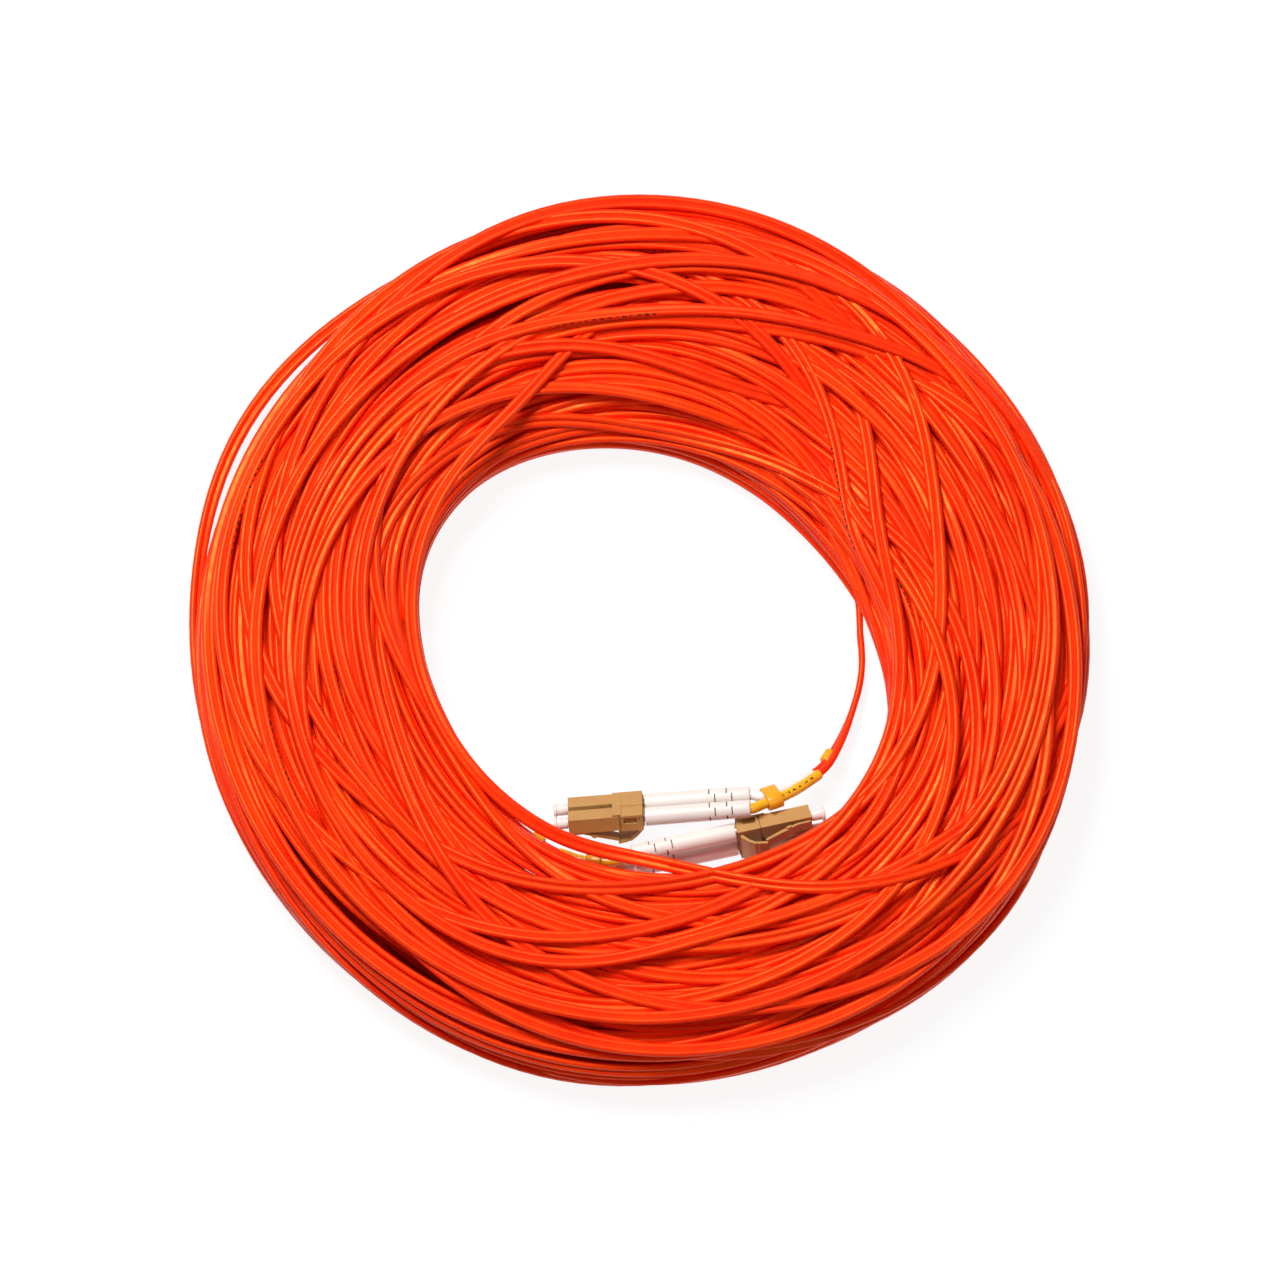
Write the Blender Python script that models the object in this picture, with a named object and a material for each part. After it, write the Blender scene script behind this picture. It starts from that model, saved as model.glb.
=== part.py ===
"""Duplex fiber optic patch cord: a flat coil of zip cord with a duplex connector at each end.

Units are metres, +Z is up. The coil lies on the plane Z = 0 with its middle at the origin.
Each plug is modelled in a local frame: the origin is the middle of its nose face, +X points
out of the nose, +Y towards plug A of the pair, and +Z towards the latch. Profiles and places
in that frame are written in millimetres and scaled by MM.
"""

from math import atan2, cos, pi, radians, sin

import bmesh
import bpy
import numpy as np
from mathutils import Matrix, Vector

MM = 0.001
GAP = 0.3  # clearance kept between touching pieces

# Coil of cord: radii at every 30 degrees, anticlockwise from +X. Its hole is a skewed oval, and
# its crown leans over the connectors on the -Y side.
COIL_HEIGHT = 26.0
COIL_STATIONS = 72
FOOT_RADII = (64.0, 54.0, 53.5, 56.5, 62.5, 65.5, 60.0, 57.0, 63.5, 71.5, 76.0, 75.5)
CROWN_RADII = (64.5, 58.5, 59.5, 62.5, 68.0, 70.0, 62.5, 56.5, 58.5, 63.0, 69.0, 71.0)
RIM_RADII = (122.0, 122.3, 124.0, 126.3, 123.5, 122.0, 122.0, 122.6, 124.2, 126.3, 126.3, 125.0)

# Zip cord and its two legs
LEG_RADIUS = 1.0
CORD_BEVEL = 2

# Plugs
PITCH = 6.25
NOSE_HALF = 2.26
NOSE_LENGTH = 13.9
TAIL_HALF = 1.8
BODY_LENGTH = 20.6
FERRULE_RADIUS = 0.625
FERRULE_TIP = 1.9
CAVITY_RADIUS = 1.7
CAVITY_DEPTH = 5.5
STOP_DEPTH = 6.3
CHAMBER_RADIUS = 1.55
ROUND_SIDES = 16
SMALL_SIDES = 12

# Clip that joins the two plugs
CLIP_FRONT = -14.2
CLIP_REAR = -20.3
CLIP_WALL = 0.4
CLIP_HALF_Z = TAIL_HALF + GAP + CLIP_WALL
CLIP_HALF_Y = PITCH / 2 + CLIP_HALF_Z
STRAP_FRONT = -12.1

# Latch and trigger hinges, in the plug's X and Z
LATCH_HINGE = (-2.6, 2.9)
TRIGGER_HINGE = (-19.7, 3.15)

# Boots
BOOT_FRONT = -BODY_LENGTH - GAP
BOOT_REAR = -49.5
LEG_FRONT = -30.3

# Marker sleeves, band and ring, as distances along the cord from the boots
SLEEVE_OUTER = 1.45
SLEEVE_INNER = 1.22
SLEEVE_START = -3.0
SLEEVE_END = 21.0
SLEEVE_POINTS = 9  # the legs keep this spacing of points all along
BAND_LENGTH = 4.2
RING_MIDDLE = 28.0
RING_LENGTH = 3.8
RING_OUTER = 1.95

# Each connector: the middle of its nose face, the direction of its nose in degrees from +X, how
# many degrees the nose dips below level, and its roll about its own length, which is 0 with plug
# A to the left and the latches up. The band's place is its distance from the boots. The route of
# the cord starts at the boots: x, y and z of the pair's middle, half the distance between the two
# legs, and the pair's own roll in degrees.
CONNECTORS = {
    "1": {
        "nose": (-19.1, -49.0, 8.6),
        "heading": 183.8,
        "dip": 3.5,
        "roll": -140.0,
        "band": 5.9,
        "route": (
            (33.8, -45.2, 11.5, 1.75, -40),
            (38.0, -43.6, 10.8, 1.6, -42),
            (44.0, -40.0, 9.0, 1.6, -50),
            (50.1, -35.0, 6.6, 1.6, -60),
            (53.3, -30.0, 5.2, 1.6, -68),
            (56.6, -22.8, 3.7, 1.25, -80),
            (60.0, -12.0, 2.5, 1.15, -90),
            (61.0, -4.0, 2.5, 1.15, -90),
            (60.5, 4.0, 2.6, 1.15, -90),
        ),
    },
    "2": {
        "nose": (46.8, -50.5, 6.8),
        "heading": 12.4,
        "dip": 0.0,
        "roll": 65.0,
        "band": 10.4,
        "route": (
            (-5.1, -61.8, 6.6, 1.75, 114),
            (-9.5, -62.1, 6.0, 1.6, 110),
            (-15.5, -61.2, 4.9, 1.6, 103),
            (-21.0, -59.0, 4.0, 1.6, 97),
            (-25.5, -56.4, 3.5, 1.5, 93),
            (-31.0, -52.2, 2.9, 1.55, 90),
            (-35.6, -47.9, 2.5, 1.15, 90),
            (-39.6, -43.4, 2.6, 1.15, 90),
        ),
    },
}
PLUGS = {"a": 1, "b": -1}
SLEEVE_COLOURS = {"1a": "white", "1b": "yellow", "2a": "yellow", "2b": "white"}

MATERIALS = {
    "orange_jacket": ((1.0, 0.09, 0.004), 0.38, 0.0),
    "beige": ((0.42, 0.29, 0.15), 0.5, 0.0),
    "white": ((0.86, 0.81, 0.78), 0.45, 0.0),
    "cap_plastic": ((0.85, 0.78, 0.74), 0.35, 0.0),
    "yellow": ((0.9, 0.52, 0.02), 0.42, 0.0),
    "ceramic": ((0.9, 0.9, 0.88), 0.15, 0.0),
    "steel": ((0.6, 0.6, 0.6), 0.3, 1.0),
    "brass": ((0.75, 0.58, 0.3), 0.3, 1.0),
    "buffer": ((0.8, 0.85, 0.88), 0.4, 0.0),
}


def clear_scene():
    for obj in list(bpy.data.objects):
        bpy.data.objects.remove(obj)


def make_materials():
    """The materials by name."""
    made = {}
    for name, (colour, roughness, metallic) in MATERIALS.items():
        material = bpy.data.materials.new(name)
        material.use_nodes = True
        shader = material.node_tree.nodes["Principled BSDF"]
        shader.inputs["Base Color"].default_value = (*colour, 1.0)
        shader.inputs["Roughness"].default_value = roughness
        shader.inputs["Metallic"].default_value = metallic
        made[name] = material
    return made


def finished(name, shape):
    """A mesh from a bmesh, with its faces turned out."""
    bmesh.ops.recalc_face_normals(shape, faces=shape.faces)
    mesh = bpy.data.meshes.new(name)
    shape.to_mesh(mesh)
    shape.free()
    return mesh


def skin(shape, rings, closed):
    """Quads between successive rings of vertices. A ring of one vertex is a point on the axis."""
    pairs = list(zip(rings, rings[1:]))
    if closed:
        pairs.append((rings[-1], rings[0]))
    sides = max(len(ring) for ring in rings)
    for first, second in pairs:
        for i in range(sides):
            j = (i + 1) % sides
            corners = [first[i % len(first)], first[j % len(first)]]
            corners += [second[j % len(second)], second[i % len(second)]]
            shape.faces.new(list(dict.fromkeys(corners)))


def turned(name, profile, sides):
    """A profile of (x, radius) points turned about X.

    A solid piece's profile starts and ends on the axis. A hollow piece's is a closed loop.
    """
    shape = bmesh.new()
    rings = []
    for x, radius in profile:
        angles = [2 * pi * i / sides for i in range(sides)] if radius else [0]
        rings.append(
            [
                shape.verts.new((x * MM, radius * MM * cos(a), radius * MM * sin(a)))
                for a in angles
            ]
        )
    skin(shape, rings, closed=profile[0][1] > 0)
    return finished(name, shape)


def block(name, low, high):
    """A box between two corners."""
    shape = bmesh.new()
    bmesh.ops.create_cube(shape, size=1.0)
    low, high = Vector(low) * MM, Vector(high) * MM
    size = high - low
    bmesh.ops.scale(shape, vec=size, verts=shape.verts)
    bmesh.ops.translate(shape, vec=(low + high) / 2, verts=shape.verts)
    return finished(name, shape)


def extruded(name, outline, half_width):
    """An outline of (x, z) points extruded along Y, the same distance each way."""
    shape = bmesh.new()
    base = [shape.verts.new((x * MM, -half_width * MM, z * MM)) for x, z in outline]
    face = shape.faces.new(base)
    extrusion = bmesh.ops.extrude_face_region(shape, geom=[face])
    moved = [item for item in extrusion["geom"] if isinstance(item, bmesh.types.BMVert)]
    bmesh.ops.translate(shape, vec=(0, 2 * half_width * MM, 0), verts=moved)
    return finished(name, shape)


def shaped(base, *steps):
    """The mesh left when each (operation, mesh) Boolean step has been applied to base."""
    collection = bpy.context.scene.collection
    body = bpy.data.objects.new("shaping", base)
    collection.objects.link(body)
    tools = []
    for operation, mesh in steps:
        tool = bpy.data.objects.new("tool", mesh)
        collection.objects.link(tool)
        modifier = body.modifiers.new(operation, "BOOLEAN")
        modifier.operation = operation
        modifier.solver = "EXACT"
        modifier.object = tool
        tools.append(tool)
    graph = bpy.context.evaluated_depsgraph_get()
    result = bpy.data.meshes.new_from_object(body.evaluated_get(graph))
    result.name = base.name
    for helper in (body, *tools):
        bpy.data.objects.remove(helper)
    return result


def placed(name, mesh, material, parent, location=(0, 0, 0), smooth_angle=40):
    """An object with this mesh, at a place in its parent's frame in millimetres."""
    if not mesh.materials:
        mesh.materials.append(material)
    mesh.shade_smooth()
    mesh.set_sharp_from_angle(angle=radians(smooth_angle))
    obj = bpy.data.objects.new(name, mesh)
    bpy.context.scene.collection.objects.link(obj)
    obj.parent = parent
    obj.location = Vector(location) * MM
    return obj


def about(mesh, x, z):
    """The mesh moved so that its origin lies on the hinge at this X and Z."""
    mesh.transform(Matrix.Translation((-x * MM, 0, -z * MM)))
    return mesh


def empty(name, parent, matrix):
    """An empty that carries a connector or a plug."""
    obj = bpy.data.objects.new(name, None)
    bpy.context.scene.collection.objects.link(obj)
    obj.parent = parent
    obj.matrix_local = matrix
    return obj


# Plug pieces


def housing_mesh():
    """Square nose and narrower tail, bored for the ferrule, the spring and the backpost."""
    nose = block("housing", (-NOSE_LENGTH, -NOSE_HALF, -NOSE_HALF), (0, NOSE_HALF, NOSE_HALF))
    tail_front = -NOSE_LENGTH + 1
    tail = block("tail", (-BODY_LENGTH, -TAIL_HALF, -TAIL_HALF), (tail_front, TAIL_HALF, TAIL_HALF))
    past = 1.0
    cavity = turned(
        "cavity",
        (
            (past, 0),
            (past, CAVITY_RADIUS),
            (-CAVITY_DEPTH, CAVITY_RADIUS),
            (-CAVITY_DEPTH, FERRULE_RADIUS + GAP),
            (-STOP_DEPTH, FERRULE_RADIUS + GAP),
            (-STOP_DEPTH, CHAMBER_RADIUS),
            (-BODY_LENGTH - past, CHAMBER_RADIUS),
            (-BODY_LENGTH - past, 0),
        ),
        ROUND_SIDES,
    )
    return shaped(nose, ("UNION", tail), ("DIFFERENCE", cavity), ("DIFFERENCE", dimples_mesh()))


def dimples_mesh():
    """The small round sink marks in both sides of a housing."""
    depth, radius, x, z = 0.3, 0.36, -9.1, -1.25
    shape = bmesh.new()
    for side in (-1, 1):
        place = Matrix.Translation((x * MM, side * NOSE_HALF * MM, z * MM))
        bmesh.ops.create_cone(
            shape,
            cap_ends=True,
            segments=8,
            radius1=radius * MM,
            radius2=radius * MM,
            depth=2 * depth * MM,
            matrix=place @ Matrix.Rotation(pi / 2, 4, "X"),
        )
    return finished("dimples", shape)


def latch_mesh():
    """Arm from the nose's front edge, rising to the rear, with a catch lug on each side."""
    arm = (
        (-0.4, 2.58),
        (-3.9, 2.62),
        (-7.6, 3.55),
        (-13.3, 5.62),
        (-13.5, 6.25),
        (-13.1, 6.3),
        (-7.4, 4.5),
        (-6.9, 4.55),
        (-5.6, 3.85),
        (-3.7, 3.2),
        (-0.7, 3.2),
    )
    lug = ((-7.5, 3.75), (-6.9, 4.4), (-5.9, 3.9), (-5.9, 3.2))
    shape = shaped(extruded("latch", arm, 1.5), ("UNION", extruded("lugs", lug, 2.15)))
    return about(shape, *LATCH_HINGE)


def ferrule_mesh():
    """Ceramic cylinder with a chamfered tip."""
    rear, chamfer = -7.4, 0.18
    profile = (
        (FERRULE_TIP, 0),
        (FERRULE_TIP, FERRULE_RADIUS - chamfer),
        (FERRULE_TIP - chamfer, FERRULE_RADIUS),
        (rear, FERRULE_RADIUS),
        (rear, 0),
    )
    return turned("ferrule", profile, SMALL_SIDES)


def flange_mesh():
    """Metal holder round the rear of the ferrule, with a seat for the spring."""
    profile = (
        (-6.6, 1.3),
        (-7.6, 1.3),
        (-7.6, 1.05),
        (-8.7, 1.05),
        (-8.7, 0.75),
        (-8.05, 0.75),
        (-8.05, FERRULE_RADIUS + GAP),
        (-6.6, FERRULE_RADIUS + GAP),
    )
    return turned("flange", profile, SMALL_SIDES)


def backpost_mesh():
    """Rear insert of the housing, with a collar and the stub that the jacket is crimped to."""
    profile = (
        (-13.9, 1.3),
        (-20.9, 1.3),
        (-20.9, 1.75),
        (-21.2, 1.75),
        (-21.2, 1.1),
        (-27.5, 1.1),
        (-27.5, 0.75),
        (-13.9, 0.75),
    )
    return turned("backpost", profile, SMALL_SIDES)


def crimp_ring_mesh():
    """Metal ring crimped over the backpost's stub."""
    profile = ((-21.5, 1.75), (-27.2, 1.75), (-27.2, 1.4), (-21.5, 1.4))
    return turned("crimp_ring", profile, SMALL_SIDES)


def boot_mesh():
    """Strain relief, wide at the front over the crimp and slightly tapered at the rear."""
    taper_start = -38.0
    profile = (
        (BOOT_FRONT, 2.4),
        (BOOT_FRONT - 0.4, 2.5),
        (taper_start, 2.5),
        (BOOT_REAR + 0.3, 2.35),
        (BOOT_REAR, 2.15),
        (BOOT_REAR, SLEEVE_OUTER + 0.4),
        (-45.6, SLEEVE_OUTER + 0.4),
        (-45.6, LEG_RADIUS + 0.35),
        (-28.2, LEG_RADIUS + 0.35),
        (-28.2, 2.05),
        (BOOT_FRONT, 2.05),
    )
    return turned("boot", profile, ROUND_SIDES)


def dust_cap_mesh():
    """Cap whose tube goes over the ferrule, inside the nose, with a flange to pull it by."""
    insert = CAVITY_RADIUS - GAP
    bore = FERRULE_RADIUS + GAP
    profile = (
        (4.0, 0),
        (4.0, 1.95),
        (3.85, 2.1),
        (3.3, 2.1),
        (3.1, 1.6),
        (GAP, 1.6),
        (GAP, insert),
        (-2.6, insert),
        (-2.6, bore),
        (2.6, bore),
        (2.6, 0),
    )
    return turned("dust_cap", profile, ROUND_SIDES)


def spring_curve():
    """Coil spring between the flange and the backpost."""
    front, rear, turns, per_turn, radius = -9.2, -13.35, 5, 8, 1.1
    count = turns * per_turn
    points = []
    for i in range(count + 1):
        angle = 2 * pi * i / per_turn
        x = front + (rear - front) * i / count
        points.append((x, radius * cos(angle), radius * sin(angle)))
    return tube_curve("spring", points, 0.15, 1)


# Clip and trigger


def clip_mesh():
    """Shell round both tails, with a strap over the noses, a raised pad and side windows."""
    channel_half = TAIL_HALF + GAP
    back = -CLIP_HALF_Z
    shell = block(
        "clip",
        (CLIP_REAR, -CLIP_HALF_Y, back),
        (CLIP_FRONT, CLIP_HALF_Y, CLIP_HALF_Z),
    )
    strap_half, strap_top = PITCH / 2 + NOSE_HALF - 0.2, -NOSE_HALF - GAP
    strap = block(
        "strap",
        (CLIP_FRONT - 0.2, -strap_half, back - 0.3),
        (STRAP_FRONT, strap_half, strap_top),
    )
    pad = block("pad", (CLIP_REAR, -1.0, back - 0.2), (CLIP_FRONT, CLIP_HALF_Y - 0.4, back + 0.1))
    steps = [("UNION", strap), ("UNION", pad)]
    for side in PLUGS.values():
        middle = side * PITCH / 2
        channel = block(
            "channel",
            (CLIP_REAR - 1, middle - channel_half, -channel_half),
            (CLIP_FRONT + 1, middle + channel_half, channel_half),
        )
        wall = side * CLIP_HALF_Y
        window = block("window", (-18.6, wall - 0.8, -1.75), (-15.0, wall + 0.8, 0.1))
        slot = block("slot", (-19.5, wall - 0.25, -1.9), (-19.1, wall + 0.25, -0.2))
        steps += [("DIFFERENCE", channel), ("DIFFERENCE", window), ("DIFFERENCE", slot)]
    return shaped(shell, *steps)


def trigger_mesh():
    """Wide lever that arches from the clip's rear edge over the latches' tips, ribbed for a thumb."""
    under = [(-19.85, 2.75), (-19.2, 2.75), (-17.7, 4.75), (-16.2, 5.95), (-13.2, 6.62)]
    over = [(-13.0, 7.2)]
    ribs, first_rib, rib_pitch, rib_height = 4, -13.35, 0.62, 0.22
    slope = 0.2
    for i in range(ribs):
        x = first_rib - i * rib_pitch
        z = 7.15 - slope * (over[0][0] - x)
        over += [(x, z + rib_height), (x - 0.25, z + rib_height), (x - 0.4, z)]
    over += [(-16.7, 6.55), (-18.2, 5.35), (-19.85, 3.5)]
    return about(extruded("trigger", under + over, 4.6), *TRIGGER_HINGE)


# Cords


def tube_curve(name, points, radius, bevel_resolution):
    """A round tube with filled ends, through points in millimetres."""
    curve = bpy.data.curves.new(name, "CURVE")
    curve.dimensions = "3D"
    curve.bevel_depth = radius * MM
    curve.bevel_resolution = bevel_resolution
    curve.use_fill_caps = True
    spline = curve.splines.new("POLY")
    spline.points.add(len(points) - 1)
    for point, place in zip(spline.points, points):
        point.co = (*(Vector(place) * MM), 1.0)
    return curve


def curve_object(name, curve, material, parent=None):
    if not curve.materials:
        curve.materials.append(material)
    obj = bpy.data.objects.new(name, curve)
    bpy.context.scene.collection.objects.link(obj)
    obj.parent = parent
    return obj


def smooth(rows, per_span=24):
    """Points of a Catmull-Rom curve through the rows, whatever their number of columns."""
    rows = np.array(rows, float)
    ends = np.vstack((2 * rows[0] - rows[1], rows, 2 * rows[-1] - rows[-2]))
    found = []
    for i in range(len(rows) - 1):
        before, start, stop, after = ends[i : i + 4]
        for t in np.arange(per_span) / per_span:
            found.append(
                0.5
                * (
                    2 * start
                    + (stop - before) * t
                    + (2 * before - 5 * start + 4 * stop - after) * t**2
                    + (3 * start - before - 3 * stop + after) * t**3
                )
            )
    found.append(rows[-1])
    return np.array(found)


def leg_route(frame, connector):
    """Rows of x, y, z, half spacing and roll from inside the boots to the coil, and distances.

    The distances are measured along the pair's middle from the rear of the boots.
    """
    straight = []
    for x in (LEG_FRONT, (LEG_FRONT + BOOT_REAR) / 2, BOOT_REAR + 1, BOOT_REAR - 0.6):
        place = frame @ Vector((x * MM, 0, 0)) / MM
        straight.append((*place, PITCH / 2, boot_roll(frame)))
    rows = smooth(straight + list(connector["route"]))
    steps = np.linalg.norm(np.diff(rows[:, :3], axis=0), axis=1)
    along = np.concatenate(([0], np.cumsum(steps)))
    return rows, along - (LEG_FRONT - BOOT_REAR)


def boot_roll(frame):
    """Roll of the pair of boots: the slope of the line between them, seen from the cord's end."""
    out = -(frame.to_3x3() @ Vector((1, 0, 0)))
    lateral = Vector((0, 0, 1)).cross(out).normalized()
    across = frame.to_3x3() @ Vector((0, 1, 0))
    return np.degrees(atan2(across.z, across.dot(lateral)))


def pair_frames(rows):
    """Middle, tangent and across direction of the pair at each row."""
    middle = rows[:, :3]
    tangent = np.gradient(middle, axis=0)
    tangent /= np.linalg.norm(tangent, axis=1)[:, None]
    lateral = np.cross((0, 0, 1), tangent)
    lateral /= np.linalg.norm(lateral, axis=1)[:, None]
    normal = np.cross(tangent, lateral)
    roll = np.radians(rows[:, 4])[:, None]
    across = np.cos(roll) * lateral + np.sin(roll) * normal
    return middle, tangent, across


def leg_line(rows, side):
    """Centre line of one leg of the pair."""
    middle, _, across = pair_frames(rows)
    return middle + side * rows[:, 3:4] * across


def resampled(line, along, wanted):
    """Points of a line at the wanted distances."""
    return np.stack([np.interp(wanted, along, line[:, i]) for i in range(3)], axis=1)


def sleeve_mesh(name, points, outer, inner, sides):
    """An open tube with a wall, along points in millimetres."""
    tangent = np.gradient(points, axis=0)
    tangent /= np.linalg.norm(tangent, axis=1)[:, None]
    lateral = np.cross((0, 0, 1), tangent)
    lateral /= np.linalg.norm(lateral, axis=1)[:, None]
    normal = np.cross(tangent, lateral)
    shape = bmesh.new()

    def ring(i, radius):
        angles = [2 * pi * k / sides for k in range(sides)]
        spokes = [cos(a) * lateral[i] + sin(a) * normal[i] for a in angles]
        return [shape.verts.new((points[i] + radius * spoke) * MM) for spoke in spokes]

    count = len(points)
    rings = [ring(i, outer) for i in range(count)]
    rings += [ring(i, inner) for i in reversed(range(count))]
    skin(shape, rings, closed=True)
    return finished(name, shape)


def band_mesh():
    """Flat-sided oval ring round both sleeves, about its own X axis, long way along Y."""
    half_spacing, inner, wall = 1.75, SLEEVE_OUTER + 0.3, 0.55
    shape = bmesh.new()

    def loop(x, radius):
        found = []
        for side, start in ((1, -pi / 2), (-1, pi / 2)):
            for k in range(7):
                angle = start + pi * k / 6
                y = side * half_spacing + radius * cos(angle)
                found.append(shape.verts.new((x * MM, y * MM, radius * sin(angle) * MM)))
        return found

    half = BAND_LENGTH / 2
    rings = [loop(-half, inner + wall), loop(half, inner + wall), loop(half, inner), loop(-half, inner)]
    skin(shape, rings, closed=True)
    return finished("band", shape)


def closed_curve(values, angle):
    """A closed smooth curve through evenly spaced values, read at an angle."""
    harmonics = np.fft.rfft(values) / len(values)
    harmonics[1:-1] *= 2
    return sum((factor * np.exp(1j * order * angle)).real for order, factor in enumerate(harmonics))


def coil_mesh():
    """Closed ring of the coil's outer shape: flat underneath, crowned on top."""
    shape = bmesh.new()
    rings = []
    for i in range(COIL_STATIONS):
        angle = 2 * pi * i / COIL_STATIONS
        foot, crown, rim = (
            closed_curve(radii, angle) for radii in (FOOT_RADII, CROWN_RADII, RIM_RADII)
        )
        section = (
            (foot + 2, 0),
            (rim - 6, 0),
            (rim - 1.5, 4),
            (rim, 10),
            (rim - 2.5, 17),
            (rim - 11, 23),
            (rim - 26, COIL_HEIGHT),
            (crown + 14, COIL_HEIGHT),
            (crown + 5, 23),
            (crown, 18.5),
            (crown + (foot - crown) * 0.3, 15.5),
            (foot, 12),
            (foot, 5),
        )
        rings.append(
            [shape.verts.new((r * cos(angle) * MM, r * sin(angle) * MM, z * MM)) for r, z in section]
        )
    skin(shape, rings, closed=True)
    return finished("coil", shape)


# Assembly


def connector_frame(connector):
    """Matrix of a connector's frame: +X out of the noses, +Y towards plug A, +Z to the latches."""
    return (
        Matrix.Translation(Vector(connector["nose"]) * MM)
        @ Matrix.Rotation(radians(connector["heading"]), 4, "Z")
        @ Matrix.Rotation(radians(connector["dip"]), 4, "Y")
        @ Matrix.Rotation(radians(connector["roll"]), 4, "X")
    )


def build_plug(key, parent, meshes, materials):
    """One plug of a connector, in its own parent's frame."""
    fixed = (
        ("housing", "beige"),
        ("backpost", "steel"),
        ("crimp_ring", "brass"),
        ("boot", "white"),
        ("ferrule", "ceramic"),
        ("flange", "steel"),
        ("dust_cap", "cap_plastic"),
    )
    for piece, material in fixed:
        placed(f"{piece}_{key}", meshes[piece], materials[material], parent)
    hinge = (LATCH_HINGE[0], 0, LATCH_HINGE[1])
    placed(f"latch_{key}", meshes["latch"], materials["beige"], parent, hinge)
    curve_object(f"spring_{key}", meshes["spring"], materials["steel"], parent)
    curve_object(f"fibre_{key}", meshes["fibre"], materials["buffer"], parent)


def build_cord_end(key, connector, frame, meshes, materials):
    """Legs, marker sleeves, band and ring between a connector's boots and the coil."""
    rows, along = leg_route(frame, connector)
    for plug, side in PLUGS.items():
        name = key + plug
        line = leg_line(rows, side)
        sleeved = np.linspace(SLEEVE_START, SLEEVE_END, SLEEVE_POINTS)
        step = sleeved[1] - sleeved[0]
        beyond = np.arange(SLEEVE_END + step, along[-1] + step / 2, step)
        stations = np.concatenate(((along[0], SLEEVE_START - step), sleeved, beyond))
        leg_points = resampled(line, along, stations)
        curve = tube_curve(f"leg_{name}", leg_points, LEG_RADIUS, CORD_BEVEL)
        curve_object(f"leg_{name}", curve, materials["orange_jacket"])
        sleeve_points = resampled(line, along, sleeved)
        sleeve = sleeve_mesh("sleeve", sleeve_points, SLEEVE_OUTER, SLEEVE_INNER, 8)
        placed(f"sleeve_{name}", sleeve, materials[SLEEVE_COLOURS[name]], None)
    ring_span = np.linspace(-RING_LENGTH / 2, RING_LENGTH / 2, 3) + RING_MIDDLE
    ring_points = resampled(leg_line(rows, 1), along, ring_span)
    ring = sleeve_mesh("leg_ring", ring_points, RING_OUTER, SLEEVE_INNER, 8)
    placed(f"leg_ring_{key}", ring, materials["yellow"], None)

    middle, tangent, across = pair_frames(rows)
    at = int(np.searchsorted(along, connector["band"]))
    x_axis, y_axis = Vector(tangent[at]), Vector(across[at])
    matrix = Matrix((x_axis, y_axis, x_axis.cross(y_axis))).transposed().to_4x4()
    carrier = empty(f"band_axis_{key}", None, Matrix.Translation(Vector(middle[at]) * MM) @ matrix)
    placed(f"band_{key}", meshes["band"], materials["yellow"], carrier)


def build():
    clear_scene()
    materials = make_materials()
    meshes = {
        "housing": housing_mesh(),
        "backpost": backpost_mesh(),
        "crimp_ring": crimp_ring_mesh(),
        "boot": boot_mesh(),
        "ferrule": ferrule_mesh(),
        "flange": flange_mesh(),
        "dust_cap": dust_cap_mesh(),
        "latch": latch_mesh(),
        "spring": spring_curve(),
        "fibre": tube_curve("fibre", ((-8.4, 0, 0), (LEG_FRONT + GAP, 0, 0)), 0.45, CORD_BEVEL),
        "clip": clip_mesh(),
        "trigger": trigger_mesh(),
        "band": band_mesh(),
    }
    placed("coil", coil_mesh(), materials["orange_jacket"], None)
    for key, connector in CONNECTORS.items():
        frame = connector_frame(connector)
        carrier = empty(f"connector_{key}", None, frame)
        placed(f"clip_{key}", meshes["clip"], materials["beige"], carrier)
        hinge = (TRIGGER_HINGE[0], 0, TRIGGER_HINGE[1])
        placed(f"trigger_{key}", meshes["trigger"], materials["beige"], carrier, hinge)
        for plug, side in PLUGS.items():
            offset = Matrix.Translation((0, side * PITCH / 2 * MM, 0))
            plug_carrier = empty(f"plug_{key}{plug}", carrier, offset)
            build_plug(key + plug, plug_carrier, meshes, materials)
        build_cord_end(key, connector, frame, meshes, materials)


build()
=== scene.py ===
"""Scene for a duplex fiber optic patch cord that lies coiled on a pale floor.

Metres, +Z up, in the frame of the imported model. The coil's section is worked out in millimetres,
as radius and height round the coil's middle, and becomes metres with MM.
"""

from math import atan2, cos, pi, radians, sin

import bmesh
import bpy
import numpy as np
from mathutils import Matrix, Vector


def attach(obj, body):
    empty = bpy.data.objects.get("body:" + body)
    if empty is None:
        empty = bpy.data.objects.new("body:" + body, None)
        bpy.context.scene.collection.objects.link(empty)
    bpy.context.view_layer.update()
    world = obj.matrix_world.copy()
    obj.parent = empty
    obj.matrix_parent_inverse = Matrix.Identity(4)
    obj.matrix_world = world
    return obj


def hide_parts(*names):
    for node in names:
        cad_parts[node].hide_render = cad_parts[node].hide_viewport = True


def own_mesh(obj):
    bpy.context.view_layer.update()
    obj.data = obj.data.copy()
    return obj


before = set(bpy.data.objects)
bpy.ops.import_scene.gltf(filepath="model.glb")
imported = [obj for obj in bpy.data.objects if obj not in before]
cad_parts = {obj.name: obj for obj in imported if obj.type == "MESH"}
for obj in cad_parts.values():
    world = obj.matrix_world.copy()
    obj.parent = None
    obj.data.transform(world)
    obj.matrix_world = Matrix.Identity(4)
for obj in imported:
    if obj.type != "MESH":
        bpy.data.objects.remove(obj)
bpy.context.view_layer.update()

MM = 0.001

# Cord
LEG_RADIUS = 1.0 * MM
SLEEVE_RADIUS = 1.45 * MM
SPLIT_GAP = 2.45 * MM  # between the middles of two legs that have parted

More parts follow.
